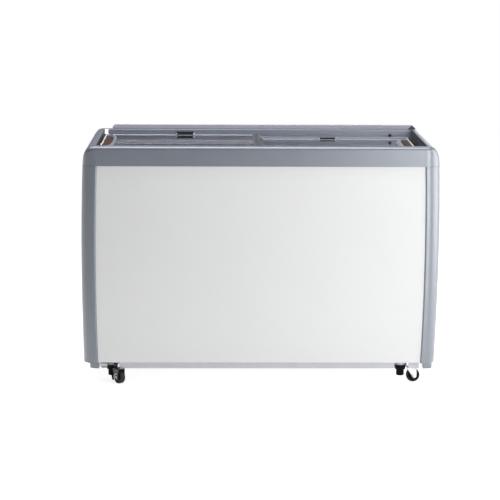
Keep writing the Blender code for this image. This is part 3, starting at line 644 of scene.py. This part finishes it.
def build_ledge():
    """The raised ledge along the back: round at its left end, and cut to a slope at its right end, where a
    thin dark sheet is painted shade.
    """
    low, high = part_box("rear_ledge")
    height = high[2] - low[2]
    outline = arc((low[0] + height, low[2]), height, 180, 96, 12)
    outline += arc((low[0] + height + 0.004, high[2] - 0.003), 0.003, 110, 90, 2)
    outline += [(high[0] - 0.0165, high[2]), (high[0] - 0.0145, high[2] - 0.0008), (high[0], low[2])]
    ledge = worked(prism(outline, "Y", low[1], high[1]), bevel=0.0012, segments=3)
    piece("rear_ledge_skin", ledge, "dark_grey_plastic", ["rear_ledge"])

    # A thin dark sheet on the ledge's sloped right end, painted shade.
    slope = [(high[0] - 0.034, low[2] + 0.0006), (high[0] - 0.0165, high[2] - 0.0006)]
    slope.append((high[0] - 0.001, low[2] + 0.0006))
    end_cap = prism(slope, "Y", low[1] - 0.0004, low[1] + 0.0010)
    piece("rear_ledge_painted_shade_cap", end_cap, "dark_grey_plastic", finish=LINING_AND_PAINTED_SHADE)


def build_stops():
    """The round rubber bumpers on the rear rail that the lids run up to."""
    profile = [(0.0, 0.0), (0.0040, 0.0), (0.0052, 0.0006), (0.006, 0.0018), (0.006, 0.0100)]
    profile += [(0.0056, 0.0108), (0.0, 0.0110)]
    for node in ("upper_lid_stop", "lower_lid_stop"):
        low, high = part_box(node)
        centre = [(a + b) / 2 for a, b in zip(low, high)]
        turn = Matrix.Translation((centre[0], low[1], centre[2])) @ ALONG_Y
        piece(f"{node}_bumper", turned(profile, 32, turn), "black_rubber", [node])


def build_rim():
    for name, end in (("front_rail", -1), ("rear_rail", 1)):
        rail = prism(rail_outline(end), "X", -RAIL_END, RAIL_END)
        piece(f"{name}_skin", rail, "grey_plastic", [name])
    build_end_rail("left_end_rail", -1)
    build_end_rail("right_end_rail", 1)

    # A fillet in the well's rear left corner, made light as a painted highlight.
    radius = 0.014
    corner_x, corner_y = -END_WALL_X[-1] + 0.0005, TOP_INNER_Y - LINING_GAP
    curve = arc((corner_x + radius, corner_y - radius), radius, 180, 90, 16)
    fillet = prism([(corner_x, corner_y)] + curve, "Z", 0.8535, RIM_TOP + 0.0002)
    piece("rear_left_corner_painted_highlight", fillet, "grey_plastic", finish=PAINTED_HIGHLIGHT_FILLET)
    build_ledge()
    build_stops()


# ---------------------------------------------------------------- lids
GRIP_MIDDLE_Y = -0.030
GRIP_HALF_LENGTH = 0.215
GRIP_SIZE = {"left_lid": (0.048, 1.0), "right_lid": (0.058, 1.8)}
PAD_INSET, PAD_WIDTH, PAD_HALF_LENGTH = 0.0049, 0.0300, 0.2030


def half_oval(end, inward, across, half_length):
    """Straight along the lid's end, and a full, blunt-ended bow towards its middle."""
    bluntness, steps = 0.72, 44
    points = []
    for i in range(steps + 1):
        angle = math.pi * i / steps
        reach = math.sin(angle) ** bluntness
        along = math.copysign(abs(math.cos(angle)) ** bluntness, math.cos(angle))
        points.append((end + inward * across * reach, GRIP_MIDDLE_Y + half_length * along))
    return points


def grip_rim(end, inward, low, high, across, spread):
    """The raised rim round a grip's recess: a rounded outer wall that slopes down to the recess."""
    levels = [
        (0.0, 0.0, 0.0),
        (0.0, 0.0, 0.55),
        (0.0008, 0.0010, 0.82),
        (0.0022, 0.0030, 0.97),
        (0.0030, 0.0050, 1.0),
        (0.0038, 0.0090, 0.97),
        (0.0044, 0.0118, 0.80),
        (0.0046, 0.0125, 0.10),
    ]
    rings = []
    for edge, shoulder, rise in levels:
        z = low + (high - low) * rise
        depth = across - edge - shoulder * spread
        outline = half_oval(end + inward * edge, inward, depth, GRIP_HALF_LENGTH - shoulder * 0.75)
        rings.append([(x, y, z) for x, y in outline])
    return loft(rings, 50, looped=True)


def build_centre_profile(name):
    """The light strip at the lid's inner end, with two bright ridges along it."""
    node = f"{name}_centre_profile"
    soft_skin(node, 0.0010, 3, "lid_profile", name)
    low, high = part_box(node)
    ridges = []
    for x in (low[0] + 0.0028, high[0] - 0.0028):
        start = (x - 0.0011, low[1] + 0.001, high[2] - 0.0004)
        stop = (x + 0.0011, high[1] - 0.001, high[2] + 0.0006)
        ridges.append(eased(start, stop, 0.0004))
    piece(f"{name}_centre_ridges", joined(*ridges), "lid_profile", (), name, RIDGE_METAL)


def build_grip(name, inward):
    """The end grip: a raised grey rim round a brown recess, with a strip along the lid's end whose cream
    colour is a painted highlight.
    """
    low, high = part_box(f"{name}_end_grip")
    end = low[0] if inward > 0 else high[0]
    rim = grip_rim(end, inward, low[2], high[2], *GRIP_SIZE[name])
    piece(f"{name}_end_grip_rim", rim, "grey_plastic", [f"{name}_end_grip"], name, GRIP_GREY)
    # A thin strip on the grip's outer edge; its cream colour is a painted highlight.
    edge_x = sorted((end + inward * 0.0008, end + inward * 0.0042))
    edge = eased((edge_x[0], -0.236, high[2] - 0.0012), (edge_x[1], 0.176, high[2] + 0.0003), 0.0006)
    piece(f"{name}_grip_edge_painted_highlight", edge, "grey_plastic", (), name, CREAM_PAINTED_HIGHLIGHT)

    # The brown pad in the grip's recess; its very dark brown is partly painted shade.
    low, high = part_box(f"{name}_grip_pad")
    rings = []
    for edge, rise in ((0.0, 0.0), (0.0, 0.6), (0.0006, 0.88), (0.0018, 1.0)):
        side = end + inward * (PAD_INSET + edge)
        outline = half_oval(side, inward, PAD_WIDTH - edge, PAD_HALF_LENGTH - edge)
        rings.append([(x, y, low[2] + (high[2] - low[2]) * rise) for x, y in outline])
    piece(f"{name}_grip_pad_skin", loft(rings, 50), "brown_pad", [f"{name}_grip_pad"], name)


def build_pull(name):
    """The slim dark pull at the lid's rear edge: low in front, high behind, with bright ends."""
    low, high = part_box(f"{name}_rear_pull")
    width, height = high[1] - low[1], high[2] - low[2]
    rings = [(low[0], 0.25), (low[0] + 0.0010, 0.08), (low[0] + 0.0030, 0.0)]
    rings += [(low[0] + high[0] - x, shrink) for x, shrink in reversed(rings)]
    section = [(0.0, 0.0), (1.0, 0.0), (1.0, 0.94), (0.94, 1.0), (0.76, 1.0), (0.62, 0.86), (0.30, 0.46)]
    section += [(0.05, 0.28), (0.0, 0.20)]
    shape = []
    for x, shrink in rings:
        ring = []
        for across, rise in section:
            across = 1 - (1 - across) * (1 - shrink * 0.4)
            ring.append((x, low[1] + width * across, low[2] + height * rise * (1 - shrink)))
        shape.append(ring)
    piece(f"{name}_rear_pull_skin", loft(shape, 40), "black_plastic", [f"{name}_rear_pull"], name)

    cap_length = 0.0045
    caps = []
    for start in (low[0], high[0] - cap_length):
        stop = (start + cap_length, high[1], low[2] + height * 0.6)
        caps.append(eased((start, low[1], low[2]), stop, 0.0006))
    piece(f"{name}_rear_pull_caps", joined(*caps), "grey_plastic", (), name, RIDGE_METAL)


def build_lid(name, inward):
    soft_skin(f"{name}_frame", 0.0008, 2, "lid_runner", name)
    pane = softened(f"{name}_glass", 0.0008, 3)
    piece(f"{name}_glass_pane", pane, "lid_glass", [f"{name}_glass"], name)
    build_centre_profile(name)
    build_grip(name, inward)
    build_pull(name)


# ---------------------------------------------------------------- casters
CASTER_X = {-1: -0.5415, 1: 0.5175}
CASTER_Y = 0.2765
CASTER_DEGREES = {"front_left": -53.0, "front_right": 0.0, "rear_left": -20.0, "rear_right": -35.0}
AXLE_TRAIL, AXLE_HEIGHT = 0.047, 0.025
FORK_HALF = 0.0155
FORK_BACK = 0.0230


def caster_plate(corner, fixed):
    """The plate screwed to the base, its four bolt heads, and the stem the fork turns on."""
    plate = placed(eased((-0.029, -0.029, 0.0777), (0.029, 0.029, 0.0802), 0.0006), fixed)
    bolt = [(0.0, 0.0755), (0.0040, 0.0755), (0.0046, 0.0759), (0.0046, 0.0777), (0.0, 0.0777)]
    reach = 0.0242
    spots = [(x, y, 0.0) for x in (-reach, reach) for y in (-reach, reach)]
    bolts = [turned(bolt, 6, fixed @ Matrix.Translation(spot)) for spot in spots]
    pin = [(0.0, 0.0702), (0.0058, 0.0702), (0.0060, 0.0706), (0.0060, 0.0778), (0.0, 0.0778)]
    node = f"{corner}_caster_plate"
    piece(f"{node}_skin", joined(plate, turned(pin, 24, fixed), *bolts), "zinc_plate", [node])


def caster_fork(corner, swivel, axle, coated):
    """The ball race ring with the axle and its nut, and the folded frame that holds them."""
    ring = [(0.0066, 0.0700), (0.0236, 0.0700), (0.0245, 0.0706), (0.0245, 0.0728), (0.0238, 0.0736)]
    ring += [(0.0238, 0.0744), (0.0245, 0.0752), (0.0240, 0.0769), (0.0228, 0.0772), (0.0066, 0.0772)]
    axle_pin = [(0.0, -0.0165), (0.0022, -0.0165), (0.0034, -0.0155), (0.0034, 0.0155), (0.0022, 0.0165)]
    axle_pin.append((0.0, 0.0165))
    nut = [(0.0, 0.0154), (0.0050, 0.0154), (0.0050, 0.0160), (0.0040, 0.0165), (0.0, 0.0165)]
    head = [(0.0, -0.0165), (0.0042, -0.0162), (0.0050, -0.0154), (0.0, -0.0154)]
    race = [turned(ring, 48, swivel), turned(axle_pin, 20, axle)]
    race += [turned(nut, 6, axle), turned(head, 20, axle)]
    node, rider = f"{corner}_fork", f"{corner}_swivel"
    piece(f"{node}_ring", joined(*race), "zinc_plate", [node], rider)

    cheek = [(0.0250, 0.0545), (0.0250, 0.0490)] + arc((0.0518, 0.0218), 0.0074, 205, 350, 18)
    cheek += [(0.0594, 0.0440), (0.0594, 0.0545)]
    thickness = 0.002
    frame = []
    for low in (-FORK_HALF, FORK_HALF - thickness):
        frame.append(worked(prism(cheek, "Y", low, low + thickness), bevel=0.0005))
    frame.append(eased((FORK_BACK, -FORK_HALF, 0.0530), (0.0600, FORK_HALF, 0.0555), 0.0007))
    frame.append(eased((FORK_BACK, -0.0080, 0.0545), (FORK_BACK + 0.0013, 0.0080, 0.0705), 0.0003))
    finish = FINISHES["black_paint"] if coated else None
    piece(f"{node}_frame", placed(joined(*frame), swivel), "zinc_plate", (), rider, finish)


def wheel_band(outer, inner, start, end):
    """Side outline of a strip that runs round the axle."""
    centre = (AXLE_TRAIL, AXLE_HEIGHT)
    return arc(centre, outer, start, end, 20) + arc(centre, inner, end, start, 20)


def fork_trim(corner, swivel):
    """Bright hook and side band, and a dark mudguard, on the black fork."""
    hook = [(0.0480, 0.0556), (0.0600, 0.0557), (0.0655, 0.0573), (0.0668, 0.0584), (0.0662, 0.0592)]
    hook += [(0.0640, 0.0586), (0.0600, 0.0567), (0.0480, 0.0565)]
    lug = placed(worked(prism(hook, "Y", -0.0050, 0.0050), bevel=0.0003), swivel)
    band = worked(prism(wheel_band(0.0135, 0.0100, 60, 230), "Y", -0.0168, -0.0158), bevel=0.0003)
    node, rider = f"{corner}_fork", f"{corner}_swivel"
    piece(f"{node}_hook", joined(lug, placed(band, swivel)), "zinc_plate", (), rider)
    fender = worked(prism(wheel_band(0.0292, 0.0268, 118, 212), "Y", -0.0150, 0.0150), bevel=0.0004)
    piece(f"{node}_fender", placed(fender, swivel), "zinc_plate", (), rider, FINISHES["black_plastic"])


def mirrored(profile):
    """A profile that runs from one face of a wheel to its middle, carried on to the other face."""
    return profile + [(radius, -height) for radius, height in reversed(profile)]


def caster_wheel(corner, axle):
    tyre = [(0.0178, -0.0082), (0.0190, -0.0096), (0.0205, -0.0100), (0.0226, -0.0098), (0.0240, -0.0088)]
    tyre += [(0.0248, -0.0068), (0.0250, -0.0030)]
    hub = [(0.0036, -0.0119), (0.0072, -0.0119), (0.0082, -0.0112), (0.0100, -0.0082), (0.0150, -0.0078)]
    hub += [(0.0168, -0.0090), (0.0177, -0.0086), (0.0179, -0.0060)]
    node, roller = f"{corner}_wheel", f"{corner}_roller"
    piece(f"{node}_tyre", turned(mirrored(tyre), 72, axle), "wheel_rubber", [node], roller)
    hub_shape = turned(mirrored(hub), 48, axle)
    piece(f"{node}_hub", hub_shape, "wheel_rubber", (), roller, FINISHES["black_plastic"])


def caster_brake(corner, swivel):
    """The brake housing, a stepped cup under the fork, and the collar above it."""
    cup = [(0.0, 0.0235), (0.0108, 0.0235), (0.0120, 0.0238), (0.0140, 0.0254), (0.0144, 0.0266)]
    cup += [(0.0144, 0.0430), (0.0148, 0.0448), (0.0186, 0.0474), (0.0192, 0.0484), (0.0223, 0.0632)]
    cup += [(0.0225, 0.0640), (0.0222, 0.0648), (0.0, 0.0648)]
    collar = [(0.0, 0.0650), (0.0212, 0.0650), (0.0216, 0.0655), (0.0212, 0.0676), (0.0192, 0.0695)]
    collar.append((0.0, 0.0695))
    node, pedal = f"{corner}_brake", f"{corner}_pedal"
    piece(f"{node}_cup", turned(cup, 56, swivel), "black_plastic", [node], pedal)
    trim = FINISHES["plinth_trim"]
    piece(f"{node}_collar", turned(collar, 56, swivel), "black_plastic", (), pedal, trim)


def build_casters():
    """Four casters, each turned its own way; the front ones have brakes, and the left one is black."""
    for corner, (side, end) in CORNERS.items():
        fixed = Matrix.Translation((CASTER_X[side], end * CASTER_Y, 0.0))
        swivel = fixed @ Matrix.Rotation(math.radians(CASTER_DEGREES[corner]), 4, "Z")
        axle = swivel @ Matrix.Translation((AXLE_TRAIL, 0.0, AXLE_HEIGHT)) @ ALONG_Y
        coated = corner == "front_left"
        caster_plate(corner, fixed)
        caster_fork(corner, swivel, axle, coated)
        if coated:
            fork_trim(corner, swivel)
        caster_wheel(corner, axle)
        if end < 0:
            caster_brake(corner, swivel)


# ---------------------------------------------------------------- controls and machinery
KNOB_SPOT = Matrix.Translation((0.6402, 0.060, 0.250))
GLAND_SPOT = Matrix.Translation((0.500, 0.335, 0.130))


def build_vent():
    soft_skin("vent_grille", 0.0010, 3, "dark_grey_plastic")
    low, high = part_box("vent_grille")
    screw = [(0.0, 0.0), (0.0040, 0.0), (0.0036, 0.0010), (0.0020, 0.0015), (0.0, 0.0016)]
    spots = []
    for y in (low[1] + 0.010, high[1] - 0.010):
        for z in (low[2] + 0.009, high[2] - 0.009):
            spots.append((high[0] - 0.0001, y, z))
    screw_heads("vent_grille_screws", screw, spots, ALONG_X)


def build_knob():
    knob = [(0.0, -0.0077), (0.0030, -0.0077), (0.0030, 0.0), (0.0155, 0.0), (0.0160, 0.0005)]
    knob += [(0.0160, 0.0036), (0.0154, 0.0064), (0.0142, 0.0096), (0.0130, 0.0103), (0.0, 0.0103)]
    shape = turned(knob, 48, KNOB_SPOT @ ALONG_X)
    piece("thermostat_knob_skin", shape, "black_plastic", ["thermostat_knob"], "knob")
    mark = placed(eased((0.0100, -0.0009, 0.0020), (0.0111, 0.0009, 0.0135), 0.0003), KNOB_SPOT)
    piece("thermostat_knob_mark", mark, "black_plastic", (), "knob", FINISHES["white_paint"])


def build_fittings():
    """The cord's inlet gland in the rear panel, and the drain plug in the well's floor."""
    gland = [(0.004, -0.014), (0.0083, -0.014), (0.0085, -0.0135), (0.0085, 0.0003), (0.0118, 0.0003)]
    gland += [(0.0120, 0.0006), (0.0120, 0.0024), (0.0112, 0.0030), (0.0094, 0.0039), (0.0086, 0.0040)]
    gland += [(0.0046, 0.0040), (0.0040, 0.0036)]
    piece("cord_inlet_skin", turned(gland, 40, GLAND_SPOT @ ALONG_Y), "black_plastic", ["cord_inlet"])

    plug = [(0.0, -0.0085), (0.0100, -0.0085), (0.0106, -0.0080), (0.0115, -0.0068), (0.0115, 0.0003)]
    plug += [(0.0178, 0.0003), (0.0180, 0.0006), (0.0180, 0.0034), (0.0172, 0.0044), (0.0156, 0.0050)]
    plug += [(0.0060, 0.0050), (0.0052, 0.0042), (0.0, 0.0042)]
    piece("drain_plug_skin", turned(plug, 48, DRAIN_SPOT), "black_plastic", ["drain_plug"], "drain")


# ---------------------------------------------------------------- studio
FLOOR_REACH = 60.0
FLOOR_GLOW = 0.76
WORLD_LOW, WORLD_HIGH = (0.16, 0.17, 0.19, 1.0), (1.0, 1.0, 1.0, 1.0)
CAMERA_SPOT = (-0.1642, -7.3297, 1.6357)
CAMERA_PITCH, CAMERA_YAW, CAMERA_ROLL = math.radians(9.236), math.radians(1.032), math.radians(0.267)
SENSOR_WIDTH, FOCAL_LENGTH = 36.0, 141.24


def build_floor():
    """A pale light table: it glows a little, so the shadows on it stay soft."""
    mesh = bpy.data.meshes.new("floor")
    corners = [(x * FLOOR_REACH, y * FLOOR_REACH, 0.0) for x, y in ((-1, -1), (1, -1), (1, 1), (-1, 1))]
    mesh.from_pydata(corners, [], [(0, 1, 2, 3)])
    floor = bpy.data.objects.new("floor", mesh)
    bpy.context.scene.collection.objects.link(floor)
    finish = Finish("pale_floor", 0.85, Specular_IOR_Level=0.1)
    grain = finish.noise(3.0, 3.0)
    finish.colour(finish.ramp(grain, [(0.3, (0.58, 0.58, 0.58)), (0.7, (0.60, 0.60, 0.60))]))
    finish.set("Emission Color", (1.0, 1.0, 1.0, 1.0))
    finish.set("Emission Strength", FLOOR_GLOW)
    mesh.materials.append(finish.material)


def area_light(name, location, target, size, watts):
    lamp = bpy.data.lights.new(name, "AREA")
    lamp.shape = "RECTANGLE"
    lamp.size, lamp.size_y = size
    lamp.energy = watts
    made = bpy.data.objects.new(name, lamp)
    made.location = location
    made.rotation_euler = (Vector(target) - Vector(location)).to_track_quat("-Z", "Y").to_euler()
    bpy.context.scene.collection.objects.link(made)
    return made


def build_lights():
    """A key and a large side light on the right, two overhead and one behind that lights the right rim."""
    area_light("key_light", (1.35, -2.5, 0.85), (0.6, -0.3, 0.5), (1.0, 1.7), 43.0)
    area_light("side_light", (2.6, -0.4, 0.98), (0.65, -0.25, 0.5), (2.4, 1.95), 59.0)
    strip = area_light("strip_light", (-0.1, -0.10, 1.95), (-0.05, 0.27, 0.87), (2.4, 0.85), 48.0)
    strip.visible_glossy = False
    area_light("sheen_light", (-0.2, -0.10, 1.97), (-0.15, 0.27, 0.87), (2.6, 0.9), 34.0)
    rear = area_light("rear_light", (1.75, 2.6, 0.95), (0.62, 0.0, 0.86), (1.7, 1.0), 9.0)
    rear.visible_camera = False


def build_world():
    """Dim at the horizon and brighter overhead."""
    world = bpy.data.worlds.new("studio")
    world.use_nodes = True
    tree = world.node_tree
    background = tree.nodes["Background"]
    coordinates = tree.nodes.new("ShaderNodeTexCoord")
    split = tree.nodes.new("ShaderNodeSeparateXYZ")
    ramp = tree.nodes.new("ShaderNodeValToRGB")
    for element, place, colour in zip(ramp.color_ramp.elements, (0.0, 0.8), (WORLD_LOW, WORLD_HIGH)):
        element.position = place
        element.color = colour
    tree.links.new(coordinates.outputs["Generated"], split.inputs["Vector"])
    tree.links.new(split.outputs["Z"], ramp.inputs["Fac"])
    tree.links.new(ramp.outputs["Color"], background.inputs["Color"])
    background.inputs["Strength"].default_value = 0.5
    bpy.context.scene.world = world


def build_camera():
    """Far off, a little left of the middle, and looking down on the front."""
    lens = bpy.data.cameras.new("camera")
    lens.sensor_width = SENSOR_WIDTH
    lens.lens = FOCAL_LENGTH
    camera = bpy.data.objects.new("camera", lens)
    turn = Matrix.Rotation(-CAMERA_YAW, 4, "Z") @ Matrix.Rotation(math.pi / 2 - CAMERA_PITCH, 4, "X")
    camera.matrix_world = Matrix.Translation(CAMERA_SPOT) @ turn @ Matrix.Rotation(CAMERA_ROLL, 4, "Z")
    bpy.context.scene.collection.objects.link(camera)
    bpy.context.scene.camera = camera


# ---------------------------------------------------------------- the whole
build_panels()
build_notch()
build_rear_screws()
build_pillars()
build_liner()
build_rim()
build_lid("left_lid", 1.0)
build_lid("right_lid", -1.0)
build_casters()
build_vent()
build_knob()
build_fittings()
dress_frame()
build_floor()
build_lights()
build_world()
build_camera()
bpy.context.scene.view_settings.view_transform = "Standard"
